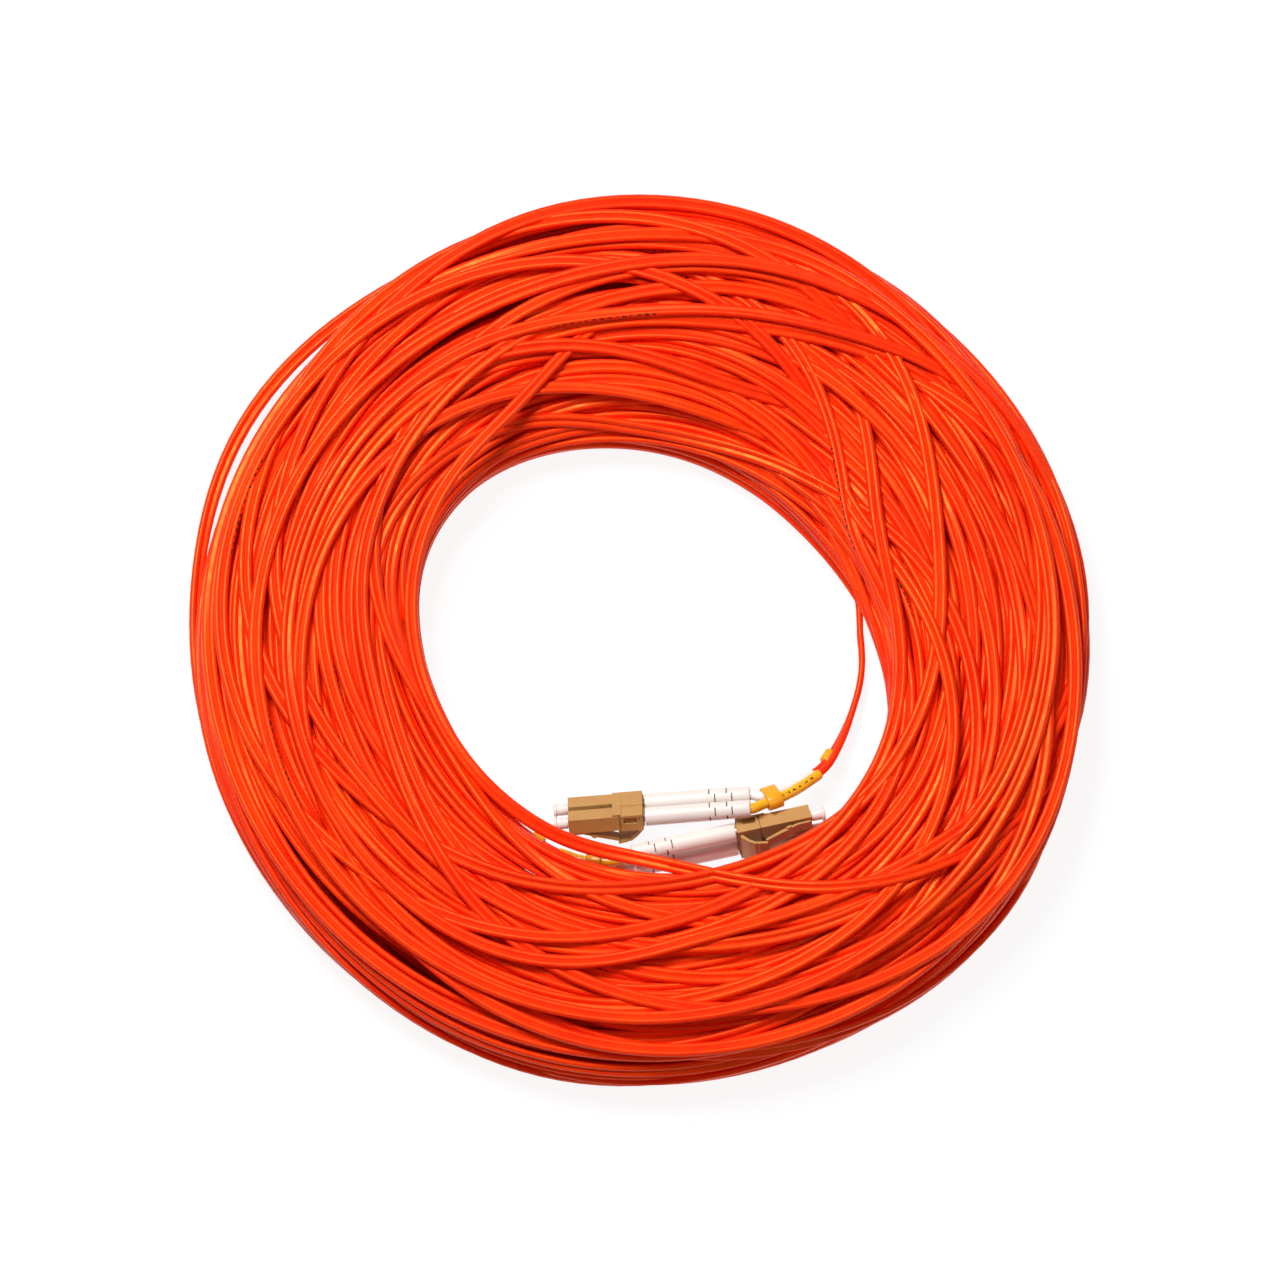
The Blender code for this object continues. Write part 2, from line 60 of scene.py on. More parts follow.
# Plugs
PITCH = 6.25 * MM
BOOT_REAR = -49.5 * MM
LEG_FRONT = -30.3 * MM
SPRING_FRONT = -9.2 * MM
SPRING_REAR = -13.35 * MM
SPRING_RADIUS = 1.1 * MM
SPRING_WIRE = 0.15 * MM
SPRING_TURNS = 5
BOOT_RADIUS = 2.5  # in millimetres, like the three below
TAPER_START = -38.0
TAPER_LENGTH = 11.0
TAPER_DEPTH = 0.13
EDGE_ROUNDING = 0.12 * MM  # of the moulded plastic's edges

# Marker sleeves, bands and rings, as distances along the cord from the boots
SLEEVE_START = -3.0 * MM
SLEEVE_END = 21.0 * MM
RING_MIDDLE = 28.0 * MM
RING_LENGTH = 3.8 * MM
RING_END_RADIUS, RING_SWELL = 1.5, 0.45  # in millimetres
SLEEVE_SIDES = 28

# Each connector: the middle of its nose face, the direction of its nose in degrees from +X, its dip
# below level, its roll, and its band's distance from the boots. The route of its cord starts at
# the boots: x, y and z of the pair's middle, half the distance between the legs, and the pair's own
# roll in degrees.
CONNECTORS = {
    "1": {
        "nose": (-0.0191, -0.0490, 0.0086),
        "heading": 183.8,
        "dip": 3.5,
        "roll": -140.0,
        "band": 0.0059,
        "route": (
            (0.0338, -0.0452, 0.0115, 0.00175, -40),
            (0.0380, -0.0436, 0.0108, 0.0016, -42),
            (0.0440, -0.0400, 0.0090, 0.0016, -50),
            (0.0501, -0.0350, 0.0066, 0.0016, -60),
            (0.0533, -0.0300, 0.0052, 0.0016, -68),
            (0.0566, -0.0228, 0.0037, 0.00125, -80),
            (0.0600, -0.0120, 0.0025, 0.00115, -90),
            (0.0610, -0.0040, 0.0025, 0.00115, -90),
            (0.0605, 0.0040, 0.0026, 0.00115, -90),
        ),
    },
    "2": {
        "nose": (0.0468, -0.0505, 0.0068),
        "heading": 12.4,
        "dip": 0.0,
        "roll": 65.0,
        "band": 0.0104,
        "route": (
            (-0.0051, -0.0618, 0.0066, 0.00175, 114),
            (-0.0095, -0.0621, 0.0060, 0.0016, 110),
            (-0.0155, -0.0612, 0.0049, 0.0016, 103),
            (-0.0210, -0.0590, 0.0040, 0.0016, 97),
            (-0.0255, -0.0564, 0.0035, 0.0015, 93),
            (-0.0310, -0.0522, 0.0029, 0.00155, 90),
            (-0.0356, -0.0479, 0.0025, 0.00115, 90),
            (-0.0396, -0.0434, 0.0026, 0.00115, 90),
        ),
    },
}
PLUGS = {"a": 1, "b": -1}
SLEEVE_COLOURS = {"1a": "white", "1b": "yellow", "2a": "yellow", "2b": "white"}

# Coil, in millimetres
TURNS = 85
STATIONS = 72  # places round a turn
FIRST = 3  # the coil's first station, counted from +X, where connector 1's cord goes in
LAST = TURNS * STATIONS + 43  # where the cord comes out to connector 2
# Radii at every 30 degrees, anticlockwise from +X
FOOT_RADII = (63.0, 50.5, 51.3, 54.0, 60.2, 63.6, 58.8, 54.2, 61.8, 71.0, 75.5, 75.0)
CROWN_RADII = (64.0, 55.0, 57.5, 60.5, 66.0, 68.0, 61.5, 54.5, 60.0, 63.0, 67.5, 70.5)
RIM_RADII = (120.0, 121.5, 123.2, 125.2, 122.7, 119.5, 121.7, 121.5, 122.6, 124.1, 125.1, 126.2)
LEAN_START, LEAN_END = 12.0, 18.5  # heights between which the wall goes from foot to crown
CROWN = 24.0
WIDEST = 10.5  # height where the section is widest
UPPER_POWER = 0.77
LOWER_POWER = 0.4
# Turns of cord in each layer, its depth, and the part of the way round the section that it takes
LAYERS = ((37, 1.0, 0.0, 0.78), (13, 1.0, 0.77, 1.0), (23, 3.0, 0.02, 0.76), (12, 5.0, 0.05, 0.7))
LEG_GAP = 2.05  # between the middles of a pair's legs
TOUCHING = 2.04  # between the middles of two legs that touch
LEG_ANGLES = (-169, -118, -60, 0, 60, 118, 169)  # a leg's outline, from the thin web between the legs
SEED = 20

# How loosely the turns are wound. Ways are parts of the way round the section.
WAVES = (31, 53, 83, 131)  # lengths of the slow random waves along the cord, in stations
WAY_WANDER = 0.011
DEPTH_WANDER = 0.35
DEEPEST = 8.0
TILT_WANDER = 0.4  # of a pair of legs, in radians
LAID_TILT_WANDER = 0.35  # of a pair that is laid along a route of its own
NEAT_SHARE = 0.6  # of the turns that lie near the one before
NEAT_STEP, CROSSING_STEP = 0.08, 0.3
LOOSE_RAMP, SWEEP_RAMP = 12, 14  # stations in which a route's hold grows from nothing
SWEEP_TURNS = 1.3  # length of a sweep
BURIED = 10  # stations in which an end of the cord sinks into the coil
BURIED_START = 1.0  # how far behind the cord's own route such an end starts
BURIED_SLOPE, BURIED_RISE = 0.5, 0.1  # of such an end, in millimetres a station

# How firmly a pair of legs keeps its place while the turns push each other apart
LEAST_FIRM = 0.02
LOOSE_FIRM, SWEEP_FIRM, END_FIRM = 0.3, 0.15, 0.98  # on top of the least
HELD = 0.03  # firmness above which a pair counts as held
FIRM_RANKS = 6  # how many grades of firmness decide which turn lies over which

# How the turns push each other apart
ROUNDS, QUICK_ROUNDS = 800, 80
WATCH_ROUNDS = 8  # from one search for legs that are near each other to the next
WATCH_REACH = 3.2
SMOOTHING = 0.3  # along the cord, in each round
LAST_SMOOTHING, LAST_SMOOTHINGS = 0.25, 4
FLATTENED = (0.35, 1.0)  # what is kept of the outward direction's level and upward parts
CROSSING_PUSH = 0.6  # of the outward direction, where two turns cross
FORCE = 0.8
MOST_MOVE = 0.4  # of a pair in a round
MOST_TURN = 0.1  # of a pair in a round, in radians
MOST_TWIST = 0.25  # of a pair from one station to the next, in radians
TWIST_REACH = 30  # stations to either side over which a sharp twist is spread

# Turns that sweep to and fro over the top of the coil: turn, middle and swing as parts of the way
# round the section, and degrees round the coil
SWEEPS = (
    (51, 0.30, 0.15, 60),
    (55, 0.38, 0.11, 150),
    (59, 0.26, 0.10, 250),
    (63, 0.33, 0.17, 330),
    (67, 0.40, 0.12, 20),
    (71, 0.28, 0.13, 200),
    (75, 0.36, 0.15, 100),
    (79, 0.32, 0.16, 290),
)
SWEEP_HEIGHT = 1.2  # above the section's outline

# The loose turns on top of the coil: degrees from the start of turn LOOSE_TURN, radius, height
LOOSE_TURN = 44
LOOSE_ROUTE = (
    (59, 78.3, 25),
    (111, 70.1, 25.2),
    (152, 65, 24),
    (185, 61, 22.5),
    (199, 59.8, 22),
    (217, 59.6, 21),
    (231, 59.8, 20),
    (240, 60.2, 19),
    (250, 61.3, 18),
    (261, 61.2, 17),
    (268, 61.6, 17),
    (278, 64.9, 18.5),
    (286, 70.1, 22),
    (293, 76.6, 25),
    (306, 90.4, 26.5),
    (320, 104.3, 26),
    (332, 114.9, 21),
    (342, 120.6, 15.5),
    (353, 120.6, 12),
    (374, 120.2, 11),
    (387, 119.5, 14),
    (399, 114.7, 20),
    (414, 100.4, 25),
    (450, 88, 25.8),
    (475, 90.4, 25.8),
    (495, 92.2, 25.8),
    (541, 95, 25.8),
    (581, 98.3, 25.8),
    (607, 98.8, 25.8),
    (623, 94.5, 25.8),
    (641, 87, 25.5),
    (659, 89.7, 25.5),
    (677, 96.9, 25.8),
    (689, 105, 25),
    (704, 114.5, 20.5),
    (717, 121, 14),
    (739, 121.3, 13),
    (762, 116.2, 20),
    (775, 112.3, 22.5),
    (792, 108.1, 25),
    (816, 101, 26),
    (842, 99.3, 26),
    (901, 104, 25.5),
    (961, 107.7, 25),
    (1019, 109.7, 25),
    (1079, 112, 23.5),
    (1130, 113.1, 22.5),
    (1148, 116.1, 19.5),
    (1164, 112.3, 22.5),
    (1190, 111.4, 23.2),
    (1213, 116, 19.5),
    (1241, 117.3, 19),
    (1291, 116, 20),
    (1340, 117, 19.5),
    (1399, 119.3, 17),
    (1469, 120, 13),
    (1540, 120.5, 9),
    (1566, 122.4, 6.5),
    (1582, 125.6, 5),
    (1597, 126.2, 5),
    (1611, 123.6, 7),
    (1651, 119, 12),
)

# The ring of floor under the coil, grey and without the floor's glow: painted shade under the coil
COVERED_MIDDLE = 97 * MM
COVERED_HALF_WIDTH = 14 * MM
COVERED_EDGE = 6 * MM

# Moulded plastics, and the painted shade in the boots' slits: light and dark colour, roughness, grain and
# scattering
MOULDED = {
    "beige_plastic": ((0.50, 0.265, 0.078), (0.43, 0.215, 0.058), 0.5, 0.1, 0.0),
    "white_plastic": ((0.80, 0.73, 0.675), (0.77, 0.675, 0.61), 0.42, 0.1, 0.05),
    # Dark brown for the boots' slits: painted shade in the recesses.
    "slit_painted_shade": ((0.34, 0.22, 0.13), (0.26, 0.16, 0.09), 0.6, 0.1, 0.0),
    "cap_plastic": ((0.85, 0.78, 0.72), (0.78, 0.69, 0.62), 0.3, 0.1, 0.35),
    "ceramic": ((0.88, 0.88, 0.86), (0.84, 0.84, 0.83), 0.12, 0.02, 0.0),
    "buffer": ((0.8, 0.84, 0.86), (0.76, 0.8, 0.84), 0.3, 0.1, 0.3),
}
# Sleeves, bands and rings: light and dark colour, and whether there are printed marks
SLEEVES = {
    "white_sleeve": ((0.88, 0.86, 0.84), (0.80, 0.77, 0.74), False),
    "yellow_sleeve": ((0.88, 0.46, 0.012), (0.80, 0.39, 0.01), True),
    "yellow_band": ((0.90, 0.39, 0.008), (0.84, 0.34, 0.007), False),
}
# Metals: colour and roughness
METALS = {
    "steel": ((0.6, 0.6, 0.61), 0.28),
    "brass": ((0.75, 0.58, 0.3), 0.3),
}

# Camera and lights
CAMERA_ELEVATION = 75  # in degrees
CAMERA_DISTANCE = 2.6
CAMERA_TARGET = (0.0003, 0.0028, 0.0)
CAMERA_LENS = 267.0
LIGHTS = {  # place, size and power
    "key": ((-0.36, 0.46, 1.2), 0.5, 21.5),
    "fill": ((0.6, -0.5, 1.2), 0.9, 2.5),
}
WORLD_STRENGTH = 0.1
FLOOR_GLOW = 0.9
FLOOR_SIZE = 4.0


# Helpers for curves and meshes


def smooth(rows, per_span):
    """Points of a Catmull-Rom curve through the rows, whatever their number of columns."""
    rows = np.asarray(rows, float)
    ends = np.concatenate((2 * rows[:1] - rows[1:2], rows, 2 * rows[-1:] - rows[-2:-1]))
    t = (np.arange(per_span) / per_span).reshape((1, -1) + (1,) * (rows.ndim - 1))
    before, start, stop, after = (ends[i : len(ends) - 3 + i, None] for i in range(4))
    found = 0.5 * (
        2 * start
        + (stop - before) * t
        + (2 * before - 5 * start + 4 * stop - after) * t**2
        + (3 * start - before - 3 * stop + after) * t**3
    )
    return np.concatenate((found.reshape((-1,) + rows.shape[1:]), rows[-1:]))


def unit(vectors):
    return vectors / np.linalg.norm(vectors, axis=-1, keepdims=True)


def distances(points):
    """Distance along a line at each of its points."""
    steps = np.linalg.norm(np.diff(points, axis=0), axis=1)
    return np.concatenate(([0], np.cumsum(steps)))


def resampled(points, along, wanted):
    return np.stack([np.interp(wanted, along, points[:, i]) for i in range(3)], axis=1)


def directions(points):
    """Tangent, level sideways and upward direction at each point of a line."""
    tangent = unit(np.gradient(points, axis=0))
    lateral = unit(np.cross((0, 0, 1), tangent))
    return tangent, lateral, np.cross(tangent, lateral)


def loft(rings, along):
    """Vertices, faces and UVs of a closed skin over rings of points, with flat ends.

    U goes once round a ring and V is the distance along, in metres.
    """
    count, sides = rings.shape[:2]
    i, j = np.meshgrid(np.arange(count - 1), np.arange(sides), indexing="ij")
    k = (j + 1) % sides
    quads = np.stack((i * sides + j, i * sides + k, (i + 1) * sides + k, (i + 1) * sides + j), -1)
    u = np.stack((j, j + 1, j + 1, j), -1) / sides
    v = np.stack((along[i], along[i], along[i + 1], along[i + 1]), -1)
    uvs = np.stack((u, v), -1).reshape(-1, 2)
    faces = quads.reshape(-1, 4).tolist()
    faces.append(list(range(sides - 1, -1, -1)))
    faces.append(list(range((count - 1) * sides, count * sides)))
    uvs = np.concatenate((uvs, np.zeros((2 * sides, 2))))
    return rings.reshape(-1, 3), faces, uvs


def mesh_of(name, lofts):
    """One mesh from several lofts."""
    vertices, faces, uvs, start = [], [], [], 0
    for points, corners, coordinates in lofts:
        vertices.append(points)
        faces += [[start + c for c in face] for face in corners]
        uvs.append(coordinates)
        start += len(points)
    mesh = bpy.data.meshes.new(name)
    mesh.from_pydata(np.concatenate(vertices).tolist(), [], faces)
    layer = mesh.uv_layers.new(name="UVMap")
    layer.data.foreach_set("uv", np.concatenate(uvs).ravel())
    mesh.shade_smooth()
    mesh.update()
    return mesh


def finished(name, shape):
    """A mesh from a bmesh, with its faces turned out."""
    bmesh.ops.recalc_face_normals(shape, faces=shape.faces)
    mesh = bpy.data.meshes.new(name)
    shape.to_mesh(mesh)
    shape.free()
    return mesh


def skin(shape, rings, closed):
    """Quads between successive rings of vertices. A ring of one vertex is a point on the axis."""
    pairs = list(zip(rings, rings[1:]))
    if closed:
        pairs.append((rings[-1], rings[0]))
    sides = max(len(ring) for ring in rings)
    for first, second in pairs:
        for i in range(sides):
            j = (i + 1) % sides
            corners = [first[i % len(first)], first[j % len(first)]]
            corners += [second[j % len(second)], second[i % len(second)]]
            shape.faces.new(list(dict.fromkeys(corners)))


def turned(profile, sides=48):
    """A profile of (x, radius) points in millimetres turned about X, as a bmesh."""
    shape = bmesh.new()
    rings = []
    for x, radius in profile:
        angles = [2 * pi * i / sides for i in range(sides)] if radius else [0]
        rings.append(
            [shape.verts.new((x * MM, radius * MM * cos(a), radius * MM * sin(a))) for a in angles]
        )
    skin(shape, rings, closed=profile[0][1] > 0)
    return shape


def piece(name, mesh, material, body, matrix=None, replaced=(), sharp=35):
    """An object of the scene that rides on a CAD body and stands for some CAD nodes."""
    obj = bpy.data.objects.new(name, mesh)
    bpy.context.scene.collection.objects.link(obj)
    mesh.shade_smooth()
    mesh.set_sharp_from_angle(angle=radians(sharp))
    if not mesh.materials:
        mesh.materials.append(material)
    if matrix is not None:
        obj.matrix_world = matrix
    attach(obj, body)
    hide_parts(*replaced)
    return obj


def bevelled(obj):
    bevel = obj.modifiers.new("edges", "BEVEL")
    bevel.width = EDGE_ROUNDING
    bevel.segments = 2
    bevel.limit_method = "ANGLE"
    bevel.angle_limit = radians(30)
    bevel.harden_normals = True


# Materials


class Nodes:
    """Builds one material's nodes."""

    def __init__(self, name):
        self.material = bpy.data.materials.new(name)
        self.material.use_nodes = True
        self.tree = self.material.node_tree
        self.shader = self.tree.nodes["Principled BSDF"]

    def add(self, kind, inputs=(), **settings):
        node = self.tree.nodes.new("ShaderNode" + kind)
        for key, value in settings.items():
            setattr(node, key, value)
        for key, value in dict(inputs).items():
            self.join(node.inputs[key], value)
        return node

    def join(self, socket, value):
        """Links an output to a socket, or sets its value."""
        if isinstance(value, bpy.types.NodeSocket):
            self.tree.links.new(value, socket)
        else:
            socket.default_value = value

    def noise(self, scale, detail=3.0):
        node = self.add("TexNoise", {"Scale": scale, "Detail": detail, "Roughness": 0.55})
        self.join(node.inputs["Vector"], self.place())
        return node.outputs["Fac"]

    def place(self):
        """Object coordinates."""
        return self.add("TexCoord").outputs["Object"]

    def ranged(self, value, low, high, start=0.0, stop=1.0):
        """value from low..high to start..stop, clamped."""
        node = self.add("MapRange", {"From Min": low, "From Max": high, "To Min": start, "To Max": stop})
        self.join(node.inputs["Value"], value)
        return node.outputs["Result"]

    def maths(self, operation, *values):
        node = self.add("Math", operation=operation)
        for socket, value in zip(node.inputs, values):
            self.join(socket, value)
        return node.outputs[0]

    def mixed(self, factor, first, second):
        node = self.add("Mix", data_type="RGBA")
        for key, value in ((0, factor), (6, first), (7, second)):
            self.join(node.inputs[key], value)
        return node.outputs[2]

    def bump(self, height, strength, distance, below=None):
        node = self.add("Bump", {"Strength": strength, "Distance": distance * MM, "Height": height})
        if below is not None:
            self.join(node.inputs["Normal"], below)
        return node.outputs["Normal"]

    def set(self, **values):
        """Sets the shader's sockets: names with _ for a space."""
        for key, value in values.items():
            self.join(self.shader.inputs[key.replace("_", " ")], value)


def jacket_material():
    """Orange PVC jacket: satin, a little uneven in colour and surface, with faint printed dashes."""
    row_repeat, row_length, dash_repeat, dash_length = 0.83, 0.03, 0.0021, 0.0013
    row_place, row_half_width = 0.25, 0.022  # parts of the way round the cord
    n = Nodes("orange_jacket")
    cloudy = n.noise(60.0)
    fine = n.noise(900.0, 2.0)
    base = n.mixed(n.ranged(cloudy, 0.35, 0.65), (0.95, 0.026, 0.003, 1), (1.0, 0.044, 0.003, 1))
    base = n.mixed(n.ranged(fine, 0.3, 0.7, 0.0, 0.18), base, (0.86, 0.014, 0.004, 1))
    uv = n.add("UVMap", uv_map="UVMap").outputs["UV"]
    split = n.add("SeparateXYZ", {"Vector": uv})
    around, along = split.outputs["X"], split.outputs["Y"]
    slow = n.add("TexNoise", {"W": along, "Scale": 2.3, "Detail": 2.0}, noise_dimensions="1D")
    tone = n.ranged(slow.outputs["Fac"], 0.35, 0.65, 0.0, 0.4)
    base = n.mixed(tone, base, (0.84, 0.012, 0.006, 1))
    stretch = n.maths("LESS_THAN", n.maths("MODULO", along, row_repeat), row_length)
    figure = n.maths("LESS_THAN", n.maths("MODULO", along, dash_repeat), dash_length)
    row = n.maths("COMPARE", around, row_place, row_half_width)
    worn = n.ranged(n.noise(1500.0, 1.0), 0.42, 0.5)
    ink = n.maths("MULTIPLY", n.maths("MULTIPLY", stretch, figure), n.maths("MULTIPLY", row, worn))
    n.set(Base_Color=n.mixed(ink, base, (0.06, 0.012, 0.01, 1)))
    n.set(Roughness=n.ranged(n.noise(300.0), 0.3, 0.7, 0.3, 0.44))
    n.set(Normal=n.bump(n.noise(700.0, 2.0), 0.25, 0.12))
    n.set(Specular_IOR_Level=0.7, Specular_Tint=(1.0, 0.45, 0.08, 1))
    return n.material


def moulded_material(name, light, dark, roughness, grain, scattering):
    """Moulded plastic with a fine grain and slightly uneven colour."""
    n = Nodes(name)
    cloudy = n.ranged(n.noise(220.0), 0.3, 0.7, 0.0, 0.5)
    n.set(Base_Color=n.mixed(cloudy, (*light, 1), (*dark, 1)))
    n.set(Roughness=n.ranged(n.noise(900.0, 2.0), 0.3, 0.7, roughness - 0.06, roughness + 0.08))
    grained = n.bump(n.noise(4200.0, 2.0), grain, 0.03)
    n.set(Normal=n.bump(n.noise(260.0, 1.0), 0.12, 0.12, grained))
    if scattering:
        n.set(Subsurface_Weight=scattering, Subsurface_Scale=1.2 * MM)
        n.shader.inputs["Subsurface Radius"].default_value = (1.0, 0.9, 0.8)
    return n.material


def sleeve_material(name, light, dark, marks):
    """Shrunk tubing: glossy, slightly wavy, with two rows of small printed dashes if it has marks."""
    dash_repeat, dash_length = 0.0019, 0.0011
    row_middle, row_half_length = 0.013, 0.0052  # along the sleeve's own distances
    row_place, row_half_width = 0.25, 0.035  # parts of the way round
    n = Nodes(name)
    base = n.mixed(n.ranged(n.noise(300.0), 0.3, 0.7), (*light, 1), (*dark, 1))
    if marks:
        uv = n.add("UVMap", uv_map="UVMap").outputs["UV"]
        split = n.add("SeparateXYZ", {"Vector": uv})
        around, along = split.outputs["X"], split.outputs["Y"]
        figure = n.maths("LESS_THAN", n.maths("MODULO", along, dash_repeat), dash_length)
        row = n.maths("COMPARE", n.maths("MODULO", around, 0.5), row_place, row_half_width)
        stretch = n.maths("COMPARE", along, row_middle, row_half_length)
        worn = n.ranged(n.noise(1800.0, 1.0), 0.42, 0.5)
        ink = n.maths("MULTIPLY", n.maths("MULTIPLY", figure, row), n.maths("MULTIPLY", stretch, worn))
        base = n.mixed(ink, base, (0.1, 0.05, 0.01, 1))
    n.set(Base_Color=base)
    n.set(Roughness=n.ranged(n.noise(700.0), 0.3, 0.7, 0.22, 0.36))
    n.set(Normal=n.bump(n.noise(420.0, 2.0), 0.3, 0.2))
    n.set(Subsurface_Weight=0.15, Subsurface_Scale=0.8 * MM)
    return n.material


def metal_material(name, colour, roughness):
    """Metal with a finely uneven surface."""
    n = Nodes(name)
    streaks = n.noise(2500.0, 2.0)
    n.set(Base_Color=n.mixed(n.ranged(streaks, 0.3, 0.7), (*colour, 1), (*(c * 0.8 for c in colour), 1)))
    n.set(Metallic=1.0, Roughness=n.ranged(streaks, 0.3, 0.7, roughness - 0.05, roughness + 0.1))
    n.set(Normal=n.bump(streaks, 0.1, 0.02))
    return n.material


def floor_material():
    """Matt white sheet that glows as a light table does, but for the ring that the coil covers, which is
    grey and does not glow, as painted shade under the coil.
    """
    n = Nodes("pale_floor")
    away = n.add("VectorMath", {0: n.place()}, operation="LENGTH").outputs["Value"]
    covered = n.maths("ABSOLUTE", n.maths("SUBTRACT", away, COVERED_MIDDLE))
    open_floor = n.ranged(covered, COVERED_HALF_WIDTH, COVERED_HALF_WIDTH + COVERED_EDGE)
    sheet = n.mixed(n.noise(3.0), (0.1, 0.1, 0.1, 1), (0.11, 0.11, 0.11, 1))
    # The covered ring's plain grey without glow is painted shade under the coil.
    n.set(Base_Color=n.mixed(open_floor, (0.6, 0.6, 0.6, 1), sheet), Roughness=0.9)
    glow = n.maths("MULTIPLY", open_floor, FLOOR_GLOW)
    n.set(Specular_IOR_Level=0.0, Emission_Color=(1, 1, 1, 1), Emission_Strength=glow)
    return n.material


def make_materials():
    """Every material by its name."""
    made = {"orange_jacket": jacket_material()}
    for name, values in MOULDED.items():
        made[name] = moulded_material(name, *values)
    for name, values in SLEEVES.items():
        made[name] = sleeve_material(name, *values)
    for name, values in METALS.items():
        made[name] = metal_material(name, *values)
    return made


# Cord


def connector_frame(key):
    """Matrix of a connector's frame: +X out of the noses, +Y towards plug A, +Z to the latches."""
    connector = CONNECTORS[key]
    return (
        Matrix.Translation(connector["nose"])
        @ Matrix.Rotation(radians(connector["heading"]), 4, "Z")
        @ Matrix.Rotation(radians(connector["dip"]), 4, "Y")
        @ Matrix.Rotation(radians(connector["roll"]), 4, "X")
    )


def leg_route(key):
    """Rows of x, y, z, half spacing and roll from inside the boots to the coil, and distances.

    The distances are measured along the pair's middle from the rear of the boots.
    """
    matrix = connector_frame(key)
    out = -(matrix.to_3x3() @ Vector((1, 0, 0)))
    lateral = Vector((0, 0, 1)).cross(out).normalized()
    across = matrix.to_3x3() @ Vector((0, 1, 0))
    roll = np.degrees(atan2(across.z, across.dot(lateral)))
    straight = []
    for x in (LEG_FRONT, (LEG_FRONT + BOOT_REAR) / 2, BOOT_REAR + 1 * MM, BOOT_REAR - 0.6 * MM):
        straight.append((*(matrix @ Vector((x, 0, 0))), PITCH / 2, roll))
    rows = smooth(straight + list(CONNECTORS[key]["route"]), per_span=24)
    return rows, distances(rows[:, :3]) - (LEG_FRONT - BOOT_REAR)


def pair_frames(rows):
    """Middle, tangent and across direction of the pair at each row."""
    tangent, lateral, normal = directions(rows[:, :3])
    roll = np.radians(rows[:, 4])[:, None]
    return rows[:, :3], tangent, np.cos(roll) * lateral + np.sin(roll) * normal


def leg_line(rows, side):
    """Centre line of one leg of the pair."""
    middle, _, across = pair_frames(rows)
    return middle + side * rows[:, 3:4] * across


def closed_curve(values, angles):
    """A closed smooth curve through evenly spaced values, read at some angles in radians."""
    spectrum = np.fft.rfft(values) / len(values)
    spectrum[1:-1] *= 2
    orders = np.arange(len(spectrum))
    return (spectrum * np.exp(1j * np.outer(angles, orders))).real.sum(axis=1)


def section_sides(height, foot, crown, rim):
    """Middle and half width of the coil's section at a height: its inner wall may lean."""
    lean = np.clip((height - LEAN_START) / (LEAN_END - LEAN_START), 0, 1)
    inner = foot + (crown - foot) * lean**2 * (3 - 2 * lean)
    return (inner + rim) / 2, (rim - inner) / 2


def section_point(way, depth, radii):
    """Radius and height of a place in the coil's section.

    way goes once round the section's outline from 0 to 1, from the foot of the hole's wall up, over
    the crown, down the rim and back under, and depth is how far inside the outline the place is.
    """
    angle = outline_angle(way)
    c, s = np.cos(angle), np.sin(angle)
    upper = s > 0
    power = np.where(upper, UPPER_POWER, LOWER_POWER)
    reach = np.where(upper, CROWN - WIDEST, WIDEST) - depth
    height = WIDEST + reach * np.sign(s) * np.abs(s) ** power
    middle, half = section_sides(height, *radii)
    return middle + (half - depth) * np.sign(c) * np.abs(c) ** power, height


def way_table():
    """Function from way to the outline's own angle, so that way is even along a usual outline."""
    foot, half_width = 1.25 * pi, 30
    angle = foot - np.linspace(0, 2 * pi, 721)
    c, s = np.cos(angle), np.sin(angle)
    power = np.where(s > 0, UPPER_POWER, LOWER_POWER)
    x = half_width * np.sign(c) * np.abs(c) ** power
    z = np.where(s > 0, CROWN - WIDEST, WIDEST) * np.sign(s) * np.abs(s) ** power
    length = distances(np.stack((x, z), axis=1))
    return lambda way: np.interp(way % 1.0, length / length[-1], angle)


outline_angle = way_table()


def wander(rng, count, spread):
    """A slow random wave along the cord, in stations, about zero."""
    at = np.arange(count)
    return sum(
        spread * rng.normal(0.6, 0.2) * np.sin(2 * pi * at / length + rng.uniform(0, 2 * pi))
        for length in WAVES
    )


def half_turns(angle):
    """The whole number of half turns nearest to an angle, as an angle."""
    return pi * np.round(angle / pi)


def coil_places(rng, radii):
    """Radius, height and tilt of the pair of legs at each station, as it was wound by hand."""
    slots = []
    for turns, depth, start, stop in LAYERS:
        width = (stop - start) / turns
        slots += [(start + (k + rng.uniform(0.2, 0.8)) * width, depth) for k in range(turns)]
    # Most turns lie near the last one, and some cross the coil.
    slots.sort(key=lambda slot: slot[0] + rng.normal(
        0, NEAT_STEP if rng.uniform() < NEAT_SHARE else CROSSING_STEP
    ))
    # The cord starts and ends at the foot of the hole's wall.
    slots = np.array([(0.01, 1.0), *slots[1:], (0.99, 1.0)])
    shifts = rng.uniform(-0.3, 0.3, len(slots))
    knots = (np.arange(len(slots)) + 0.5 + shifts) * STATIONS
    count = LAST + 1
    at = np.arange(count)
    after = np.clip(np.searchsorted(knots, at), 1, len(knots) - 1)
    share = np.clip((at - knots[after - 1]) / (knots[after] - knots[after - 1]), 0, 1)
    share = (share**2 * (3 - 2 * share))[:, None]
    way, depth = (slots[after - 1] * (1 - share) + slots[after] * share).T
    way = way + wander(rng, count, WAY_WANDER)
    depth = np.clip(depth + wander(rng, count, DEPTH_WANDER), LEG_RADIUS / MM, DEEPEST)
    places = np.stack(section_point(way, depth, radii), axis=1)
    ahead = np.stack(section_point(way + 0.004, depth, radii), axis=1)
    tilt = np.unwrap(np.arctan2(*(ahead - places).T[::-1])) + wander(rng, count, TILT_WANDER)
    return places, tilt


